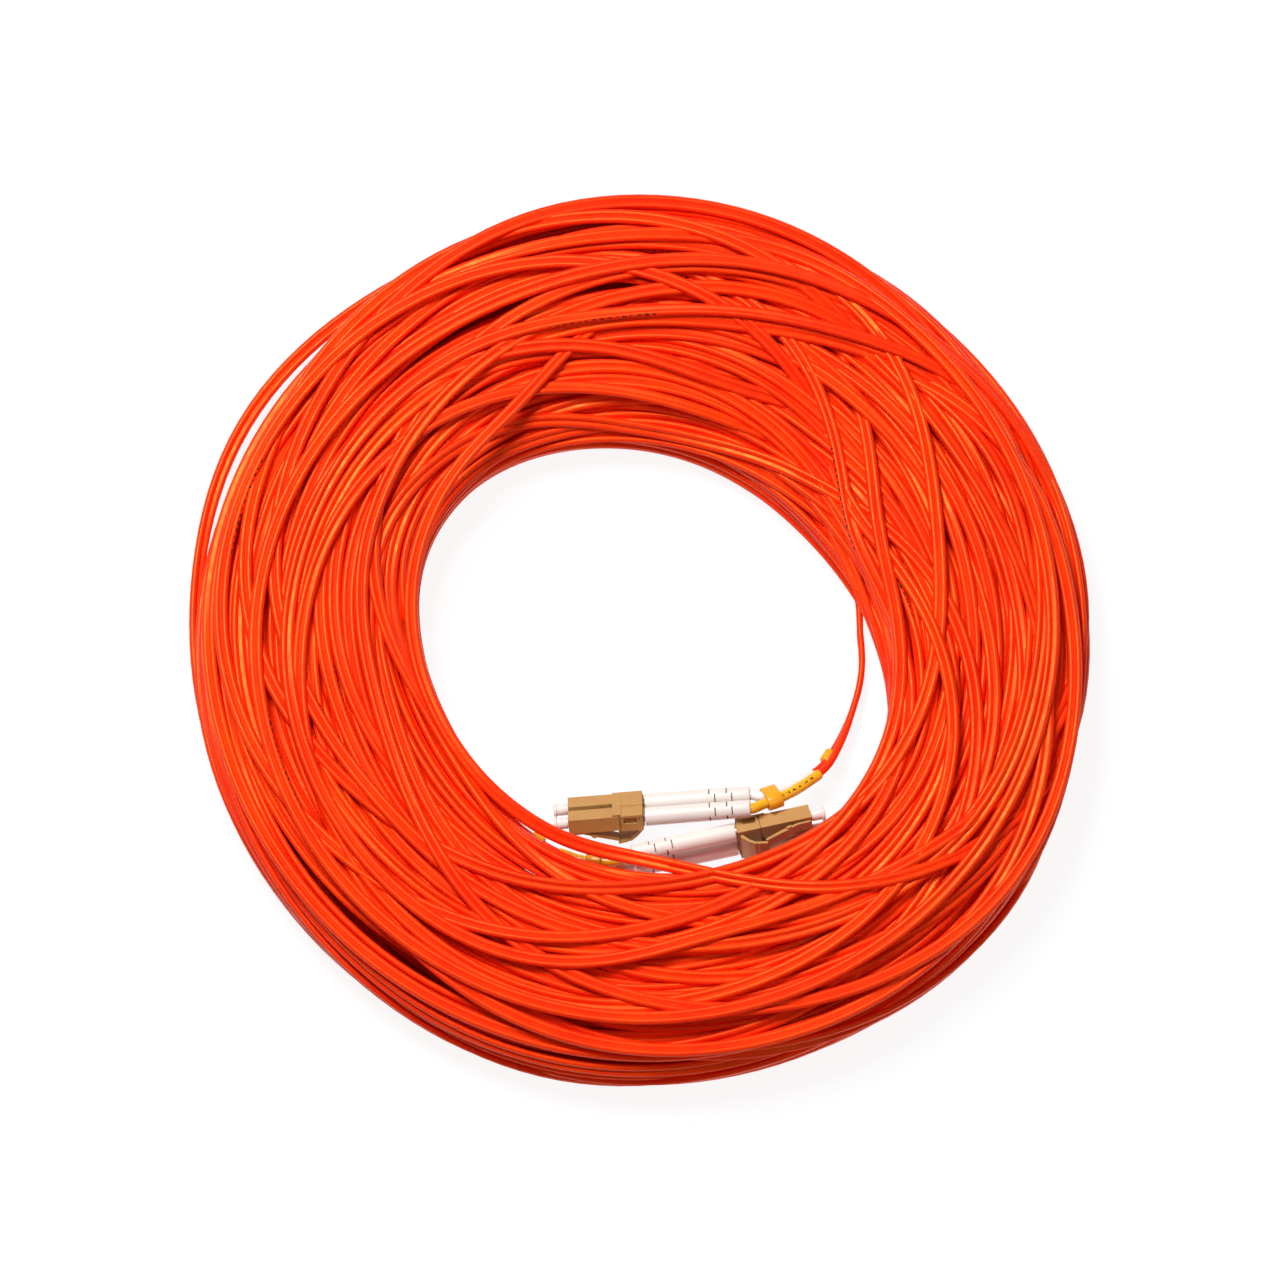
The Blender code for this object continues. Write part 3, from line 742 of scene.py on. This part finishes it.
def coil_start(rng, radii):
    """The pairs' places, tilts and firmness before they push each other apart."""
    places, tilt = coil_places(rng, radii)
    firmness = np.full(len(places), LEAST_FIRM)

    def hold(span, route, flat, held, force):
        """Lays the pair along a route where held is 1, with its tilt turned there smoothly."""
        half = span[len(span) // 2]
        flat = flat + half_turns(tilt[span[0]] - flat[0])
        tilt[half:] += half_turns(flat[-1] - tilt[span[-1]])
        tilt[span] = flat * held + tilt[span] * (1 - held)
        places[span] = route * held[:, None] + places[span] * (1 - held[:, None])
        firmness[span] += force * held

    loose = smooth(LOOSE_ROUTE, per_span=16)
    start = LOOSE_TURN * STATIONS
    first, last = (int(loose[i, 0] / 360 * STATIONS) + start for i in (0, -1))
    span = np.arange(first, last + 1)
    degrees = (span - start) * 360 / STATIONS
    route = np.stack([np.interp(degrees, loose[:, 0], loose[:, i]) for i in (1, 2)], axis=1)
    ramp = np.clip(np.minimum(span - first, last - span) / LOOSE_RAMP, 0, 1)
    hold(span, route, wander(rng, len(span), LAID_TILT_WANDER), ramp, LOOSE_FIRM)

    for turn, middle, swing, phase in SWEEPS:
        span = np.arange(turn * STATIONS, int((turn + SWEEP_TURNS) * STATIONS))
        way = middle + swing * np.sin(2 * pi * span / STATIONS + radians(phase))
        route = np.stack(section_point(way, -SWEEP_HEIGHT, [r[span] for r in radii]), axis=1)
        ramp = np.clip(np.minimum(span - span[0], span[-1] - span) / SWEEP_RAMP, 0, 1)
        hold(span, route, wander(rng, len(span), LAID_TILT_WANDER), ramp, SWEEP_FIRM)

    # Both ends go into the wall of the hole slowly, with one leg above the other.
    for key, station, step in (("1", FIRST, 1), ("2", LAST, -1)):
        x, y, z = np.array(CONNECTORS[key]["route"][-1][:3]) / MM
        deep = np.arange(BURIED)
        span = station + step * deep
        radius = np.hypot(x, y) + BURIED_START + BURIED_SLOPE * deep
        route = np.stack((radius, z + BURIED_RISE * deep), axis=1)
        side = np.full(len(span), pi / 2)
        side += half_turns(tilt[span[-1]] - side)
        held = (1 - deep / BURIED) ** 2
        tilt[span] = side * held + tilt[span] * (1 - held)
        places[span] = route * held[:, None] + places[span] * (1 - held[:, None])
        firmness[span] += END_FIRM * held
    return places, tilt, firmness


def both_legs(places, tilt):
    """Radius and height of each leg at each station, from its pair's middle and tilt."""
    across = np.stack((np.cos(tilt), np.sin(tilt)), axis=1) * LEG_GAP / 2
    return np.stack((places + across, places - across), axis=1)


def near_pairs(legs, reach):
    """Indices of legs that are within reach of each other at a station, but for a pair's own two."""
    turns = -(-len(legs) // STATIONS)
    flat = legs.reshape(-1, 2)
    found = []
    for station in range(STATIONS):
        rows = np.arange(turns) * STATIONS + station
        rows = rows[(rows >= FIRST) & (rows <= LAST)]
        index = np.stack((rows * 2, rows * 2 + 1), axis=1).ravel()
        apart = flat[index, None] - flat[None, index]
        close = np.triu((apart**2).sum(-1) < reach**2, 1)
        a, b = np.nonzero(close)
        keep = a // 2 != b // 2
        found.append(np.stack((index[a[keep]], index[b[keep]])))
    return np.concatenate(found, axis=1)


def contact_push(legs, pairs, order, radii):
    """How far each leg is pushed by the legs that it overlaps.

    Where two turns cross, the one that lies over the other, as order says, is pushed out.
    """
    flat = legs.reshape(-1, 2)
    middle = section_sides(legs[..., 1], *radii)[0].ravel()
    core = np.stack((middle, np.full(len(middle), WIDEST)), axis=1)
    outward = unit((flat - core) * FLATTENED + 1e-6)
    apart = flat[pairs[0]] - flat[pairs[1]]
    overlap = np.maximum(TOUCHING - np.linalg.norm(apart, axis=1, keepdims=True), 0)
    push = unit(apart - CROSSING_PUSH * order * outward[pairs[0]] + 1e-9) * overlap * 0.5
    total = np.zeros_like(flat)
    for column in (0, 1):
        total[:, column] += np.bincount(pairs[0], push[:, column], len(flat))
        total[:, column] -= np.bincount(pairs[1], push[:, column], len(flat))
    return total.reshape(legs.shape)


def hull_push(legs, radii):
    """How far each leg has to move to lie inside the coil's outline."""
    middle, half = section_sides(legs[..., 1], *radii)
    across, up = legs[..., 0] - middle, legs[..., 1] - WIDEST
    inset = LEG_RADIUS / MM
    room = np.where(up > 0, CROWN - WIDEST, WIDEST) - inset
    power = np.where(up > 0, 2 / UPPER_POWER, 2 / LOWER_POWER)
    size = np.abs(across / (half - inset)) ** power + np.abs(up / room) ** power
    shrink = np.where(size > 1, size ** (-1 / power), 1.0) - 1
    return np.stack((across * shrink, up * shrink), axis=-1)


def eased(tilt):
    """The tilts with each sharp twist spread along the cord.

    The legs change names where they would otherwise cross.
    """
    tilt = np.unwrap(tilt, period=pi)
    step = np.diff(tilt, prepend=tilt[0])
    excess = np.cumsum(step - np.clip(step, -MOST_TWIST, MOST_TWIST))
    kernel = np.hanning(2 * TWIST_REACH + 3)[1:-1]
    padded = np.pad(excess, TWIST_REACH, mode="edge")
    spread = np.convolve(padded, kernel / kernel.sum(), mode="valid")
    return tilt - excess + spread


def settled(places, tilt, firmness, radii, rounds):
    """Both legs after the pairs have pushed each other apart, and stayed smooth along the cord."""
    target, aim = places.copy(), tilt.copy()
    held = firmness > HELD
    radii = [r[:, None] for r in radii]
    # A later turn lies over an earlier one, and those that are held more firmly lie over the rest.
    rank = np.repeat(np.arange(len(places)) + np.round(FIRM_RANKS * firmness) * len(places), 2)
    for step in range(rounds):
        if step % WATCH_ROUNDS == 0:
            tilt = eased(tilt)
            pairs = near_pairs(both_legs(places, tilt), WATCH_REACH)
            order = np.sign(rank[pairs[1]] - rank[pairs[0]])[:, None]
        places[1:-1] += SMOOTHING * (places[:-2] + places[2:] - 2 * places[1:-1])
        tilt[1:-1] += SMOOTHING * (tilt[:-2] + tilt[2:] - 2 * tilt[1:-1])
        places += firmness[:, None] * (target - places)
        tilt += held * firmness * (aim + half_turns(tilt - aim) - tilt)
        legs = both_legs(places, tilt)
        push = contact_push(legs, pairs, order, radii) * FORCE
        push += hull_push(legs, radii) * ~held[:, None, None]
        push[..., 1] += np.maximum(LEG_RADIUS / MM - legs[..., 1], 0)
        places += np.clip(push.mean(axis=1), -MOST_MOVE, MOST_MOVE)
        normal = np.stack((-np.sin(tilt), np.cos(tilt)), axis=1)
        turn = ((push[:, 0] - push[:, 1]) * normal).sum(axis=1) / LEG_GAP
        tilt += np.clip(turn, -MOST_TURN, MOST_TURN)
    tilt = eased(tilt)
    for _ in range(LAST_SMOOTHINGS):
        places[1:-1] += LAST_SMOOTHING * (places[:-2] + places[2:] - 2 * places[1:-1])
        tilt[1:-1] += LAST_SMOOTHING * (tilt[:-2] + tilt[2:] - 2 * tilt[1:-1])
    legs = both_legs(places, tilt)
    legs[..., 1] += np.maximum(LEG_RADIUS / MM - legs[..., 1].min(axis=1), 0)[:, None]
    return legs


def coil_legs():
    """Centre lines of both legs round the coil, in metres."""
    angle = 2 * pi * np.arange(LAST + 1) / STATIONS
    radii = [closed_curve(values, angle) for values in (FOOT_RADII, CROWN_RADII, RIM_RADII)]
    start = coil_start(np.random.default_rng(SEED), radii)
    legs = settled(*start, radii, ROUNDS)[FIRST:]
    radius, height = legs[..., 0], legs[..., 1]
    x, y = radius * np.cos(angle[FIRST:, None]), radius * np.sin(angle[FIRST:, None])
    return np.stack((x, y, height), axis=-1).transpose(1, 0, 2) * MM


def control_points(line, along, spacing=4 * MM):
    """A line's points at about this spacing, from its start to its end."""
    count = int((along[-1] - along[0]) / spacing) + 1
    return resampled(line, along, np.linspace(along[0], along[-1], count))


def cord_legs():
    """Centre lines of both legs of the whole cord, from connector 1's boots to connector 2's.

    Leg 0 starts from plug A of connector 1.
    """
    coiled = coil_legs()
    ends = {}
    for key in CONNECTORS:
        rows, along = leg_route(key)
        ends[key] = [control_points(leg_line(rows, side), along) for side in PLUGS.values()]
    lines = []
    for leg in (0, 1):
        first = ends["1"][leg]
        # Each leg joins the coil's leg that lies at the same height there.
        turn = coiled[np.argmin([abs(c[0, 2] - first[-1, 2]) for c in coiled])]
        last = ends["2"][np.argmin([abs(e[-1, 2] - turn[-1, 2]) for e in ends["2"]])]
        lines.append(smooth(np.concatenate((first, turn, last[::-1])), per_span=2))
    return lines


def tube(line, radius, sides=14, along=None):
    """Loft of a round tube along a line."""
    _, lateral, normal = directions(line)
    angle = 2 * pi * np.arange(sides) / sides
    spokes = np.cos(angle)[:, None] * lateral[:, None] + np.sin(angle)[:, None] * normal[:, None]
    radius = np.broadcast_to(radius, len(line))[:, None, None]
    return loft(line[:, None] + radius * spokes, distances(line) if along is None else along)


def zip_cord(first, second, along):
    """Loft of two joined legs, a figure of eight in section."""
    tangent = unit(np.gradient((first + second) / 2, axis=0))
    across = unit(first - second)
    across = unit(across - (across * tangent).sum(1, keepdims=True) * tangent)
    normal = np.cross(tangent, across)
    rings = []
    for centre, turn in ((first, 0), (second, pi)):
        for angle in np.radians(LEG_ANGLES) + turn:
            rings.append(centre + LEG_RADIUS * (np.cos(angle) * across + np.sin(angle) * normal))
    return loft(np.stack(rings, axis=1), along)


def make_cord(materials):
    first, second = cord_legs()
    count = min(len(first), len(second))
    first, second = first[:count], second[:count]
    middle = (first + second) / 2
    along = distances(middle)
    joined = np.nonzero(np.linalg.norm(first - second, axis=1) < SPLIT_GAP)[0]
    start, stop = joined[0], joined[-1]
    lofts = [zip_cord(first[start : stop + 1], second[start : stop + 1], along[start : stop + 1])]
    for line in (first, second):
        lofts.append(tube(line[: start + 1], LEG_RADIUS, along=along[: start + 1]))
        lofts.append(tube(line[stop:], LEG_RADIUS, along=along[stop:]))
    nodes = ["coil"] + [f"leg_{key}{plug}" for key in CONNECTORS for plug in PLUGS]
    cord = piece("patch_cord", mesh_of("patch_cord", lofts), materials["orange_jacket"], "cord",
                 replaced=nodes, sharp=80)
    # The route is given more finely beside the connectors than round the coil.
    length, end = along[-1], 0.15
    near = np.linspace(0, end, 100)
    coiled = np.linspace(end, length - end, 3700)[1:-1]
    path = resampled(middle, along, np.concatenate((near, coiled, length - near[::-1])))
    return cord, path, length


def make_sleeves(materials):
    """Marker sleeves and rings, whose CAD nodes they replace."""
    made = []
    for key in CONNECTORS:
        rows, along = leg_route(key)
        for plug, side in PLUGS.items():
            name = key + plug
            line = leg_line(rows, side)
            at = np.linspace(SLEEVE_START, SLEEVE_END, 60)
            # The shrunk tubing is a little wavy, and its far end is drawn in.
            waves = 0.02 * np.sin(at / MM * 0.9 + side)
            radius = SLEEVE_RADIUS * (1 - waves) - 0.02 * MM
            radius[-1] -= 0.15 * MM
            colour = SLEEVE_COLOURS[name] + "_sleeve"
            mesh = mesh_of("sleeve", [tube(resampled(line, along, at), radius, SLEEVE_SIDES, at)])
            made.append(
                piece(f"marker_sleeve_{name}", mesh, materials[colour], "cord",
                      replaced=[f"sleeve_{name}"], sharp=50)
            )
        half = RING_LENGTH / 2
        at = np.linspace(-half, half, 24) + RING_MIDDLE
        rounded = np.sqrt(np.clip(1 - (np.abs(at - RING_MIDDLE) / half) ** 10, 0, 1))
        line = resampled(leg_line(rows, 1), along, at)
        radius = (RING_END_RADIUS + RING_SWELL * rounded) * MM
        ring = mesh_of("ring", [tube(line, radius, SLEEVE_SIDES, at)])
        made.append(
            piece(f"marker_ring_{key}", ring, materials["yellow_band"], "cord",
                  replaced=[f"leg_ring_{key}"], sharp=50)
        )
    return made


def band_mesh():
    """Oval ring with rounded edges, about its own X axis, long way along Y."""
    half_spacing, inner, wall, half_length, soft = 1.75, 1.75, 0.55, 2.1, 0.18
    outer, corner = inner + wall, soft * 0.3
    outline = [(-half_length, inner), (-half_length, outer - soft)]
    outline += [(-half_length + corner, outer - corner), (-half_length + soft, outer)]
    outline += [(half_length - soft, outer), (half_length - corner, outer - corner)]
    outline += [(half_length, outer - soft), (half_length, inner)]
    shape = bmesh.new()
    rings = []
    for x, radius in outline:
        ring = []
        for side, start in ((1, -pi / 2), (-1, pi / 2)):
            for k in range(21):
                angle = start + pi * k / 20
                y = side * half_spacing + radius * cos(angle)
                ring.append(shape.verts.new((x * MM, y * MM, radius * sin(angle) * MM)))
        rings.append(ring)
    skin(shape, rings, closed=True)
    return finished("band", shape)


def make_bands(materials):
    for key in CONNECTORS:
        rows, along = leg_route(key)
        middle, tangent, across = pair_frames(rows)
        at = int(np.searchsorted(along, CONNECTORS[key]["band"]))
        x_axis, y_axis = Vector(tangent[at]), Vector(across[at])
        matrix = Matrix((x_axis, y_axis, x_axis.cross(y_axis))).transposed().to_4x4()
        piece(f"tie_band_{key}", band_mesh(), materials["yellow_band"], f"band_{key}",
              Matrix.Translation(middle[at]) @ matrix, [f"band_{key}"])


# Connectors


def boot_mesh():
    """Strain relief with two groups of staggered slits round it."""
    sides, per_slit, slit_groups = 72, 12, 3
    slit_depth, half_width, tolerance = 0.6, 0.17, 0.05
    columns = ((-38.5, 0), (-40.0, 1), (-43.2, 0), (-44.6, 1))
    profile = [(-20.9, 2.15), (-20.9, 2.3), (-21.05, 2.45)]
    profile += [(x, BOOT_RADIUS) for x in (-21.35, -28, -36.5)]
    for x, _ in columns:
        profile += [(x + half_width, outer_radius(x)), (x - half_width, outer_radius(x))]
    profile += [(-46.5, outer_radius(-46.5)), (-49.1, 2.36), (-49.35, 2.3), (-49.5, 2.15)]
    profile += [(-49.5, 1.62), (-47.5, 1.55), (-21.4, 2.05)]
    shape = turned(profile, sides)
    slits = []
    shape.faces.ensure_lookup_table()
    for face in shape.faces:
        middle = face.calc_center_median()
        angle = atan2(middle.z, middle.y) % (2 * pi)
        segment = int(angle / (2 * pi) * sides)
        for x, shift in columns:
            start = shift * sides // slit_groups // 2
            in_slit = (segment - start) % (sides // slit_groups) < per_slit
            if in_slit and abs(middle.x / MM - x) < tolerance:
                slits.append(face)
    cut = bmesh.ops.extrude_face_region(shape, geom=slits)
    sunk = [item for item in cut["geom"] if isinstance(item, bmesh.types.BMVert)]
    # Faces in the slits take the second material, a dark brown that is painted shade in the recesses.
    for face in shape.faces:
        face.material_index = int(any(vertex in sunk for vertex in face.verts))
    for vertex in sunk:
        radial = Vector((0, vertex.co.y, vertex.co.z)).normalized()
        vertex.co -= radial * slit_depth * MM
    bmesh.ops.delete(shape, geom=slits, context="FACES")
    return finished("boot", shape)


def outer_radius(x):
    """The boot's outer radius at x, in millimetres."""
    return BOOT_RADIUS - TAPER_DEPTH * max(TAPER_START - x, 0) / TAPER_LENGTH


def cap_mesh():
    """Dust cap: a thin tube that goes into the nose, a neck and a rounded flange."""
    profile = (
        (4.0, 0),
        (4.0, 1.7),
        (3.97, 1.86),
        (3.9, 2.0),
        (3.76, 2.09),
        (3.6, 2.1),
        (3.4, 2.08),
        (3.3, 2.0),
        (3.18, 1.72),
        (3.05, 1.6),
        (0.5, 1.58),
        (0.36, 1.52),
        (0.3, 1.4),
        (-2.45, 1.4),
        (-2.6, 1.28),
        (-2.6, 1.0),
        (-2.4, 0.93),
        (2.6, 0.93),
        (2.6, 0),
    )
    return finished("cap", turned(profile))


def ferrule_mesh():
    """Polished cylinder with a domed, chamfered tip."""
    profile = ((1.9, 0), (1.895, 0.2), (1.88, 0.38), (1.82, 0.47), (1.7, 0.625), (-7.4, 0.625), (-7.4, 0))
    return finished("ferrule", turned(profile))


def spring_mesh():
    """Helix of round wire between the flange and the backpost."""
    per_turn, sides = 24, 10
    angle = 2 * pi * np.arange(SPRING_TURNS * per_turn + 1) / per_turn
    x = np.linspace(SPRING_FRONT, SPRING_REAR, len(angle))
    radial = np.stack((0 * angle, np.cos(angle), np.sin(angle)), axis=1)
    line = x[:, None] * (1, 0, 0) + SPRING_RADIUS * radial
    side = np.cross(unit(np.gradient(line, axis=0)), radial)
    turn = (2 * pi * np.arange(sides) / sides)[:, None]
    rings = line[:, None] + SPRING_WIRE * (np.cos(turn) * radial[:, None] + np.sin(turn) * side[:, None])
    return mesh_of("spring", [loft(rings, distances(line))])


def make_connectors(materials):
    boot, cap, ferrule, spring = boot_mesh(), cap_mesh(), ferrule_mesh(), spring_mesh()
    boot.materials.append(materials["white_plastic"])
    # The second material, for the slits, is painted shade.
    boot.materials.append(materials["slit_painted_shade"])
    for key in CONNECTORS:
        for plug, side in PLUGS.items():
            name = key + plug
            matrix = connector_frame(key) @ Matrix.Translation((0, side * PITCH / 2, 0))
            piece(f"strain_relief_{name}", boot, materials["white_plastic"], "cord",
                  matrix, [f"boot_{name}"])
            piece(f"ferrule_cap_{name}", cap, materials["cap_plastic"], f"dust_cap_{name}",
                  matrix, [f"dust_cap_{name}"])
            piece(f"ferrule_tip_{name}", ferrule, materials["ceramic"], f"ferrule_{name}",
                  matrix, [f"ferrule_{name}"])
            coil_spring = piece(f"coil_spring_{name}", spring, materials["steel"], "cord",
                                matrix, [f"spring_{name}"])
            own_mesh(coil_spring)
    finishes = {
        "housing": "beige_plastic",
        "latch": "beige_plastic",
        "trigger": "beige_plastic",
        "clip": "beige_plastic",
        "flange": "steel",
        "backpost": "steel",
        "crimp_ring": "brass",
        "fibre": "buffer",
    }
    for name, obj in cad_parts.items():
        kind = name.rsplit("_", 1)[0]
        if kind not in finishes:
            continue
        obj.data.materials.clear()
        obj.data.materials.append(materials[finishes[kind]])
        if finishes[kind] == "beige_plastic":
            bevelled(obj)


# Stage


def make_stage():
    shape = bmesh.new()
    bmesh.ops.create_grid(shape, x_segments=2, y_segments=2, size=FLOOR_SIZE)
    floor = bpy.data.objects.new("floor", finished("floor", shape))
    bpy.context.scene.collection.objects.link(floor)
    floor.data.materials.append(floor_material())

    world = bpy.data.worlds.new("studio")
    world.use_nodes = True
    background = world.node_tree.nodes["Background"]
    background.inputs["Color"].default_value = (1.0, 1.0, 1.0, 1.0)
    background.inputs["Strength"].default_value = WORLD_STRENGTH
    bpy.context.scene.world = world

    for name, (place, size, power) in LIGHTS.items():
        data = bpy.data.lights.new(name, "AREA")
        data.size = size
        data.energy = power
        light = bpy.data.objects.new(name, data)
        bpy.context.scene.collection.objects.link(light)
        light.location = place
        light.rotation_euler = (-Vector(place)).to_track_quat("-Z", "Y").to_euler()
    bpy.context.scene.view_settings.view_transform = "Standard"


def make_camera():
    elevation = radians(CAMERA_ELEVATION)
    back = Vector((0, -cos(elevation), sin(elevation)))
    data = bpy.data.cameras.new("camera")
    data.lens = CAMERA_LENS
    data.clip_start = 0.01
    camera = bpy.data.objects.new("camera", data)
    bpy.context.scene.collection.objects.link(camera)
    camera.location = Vector(CAMERA_TARGET) + back * CAMERA_DISTANCE
    camera.rotation_euler = (-back).to_track_quat("-Z", "Y").to_euler()
    bpy.context.scene.camera = camera


make_camera()
materials = make_materials()
cord, path, length = make_cord(materials)
sleeves = make_sleeves(materials)
make_bands(materials)
make_connectors(materials)
make_stage()
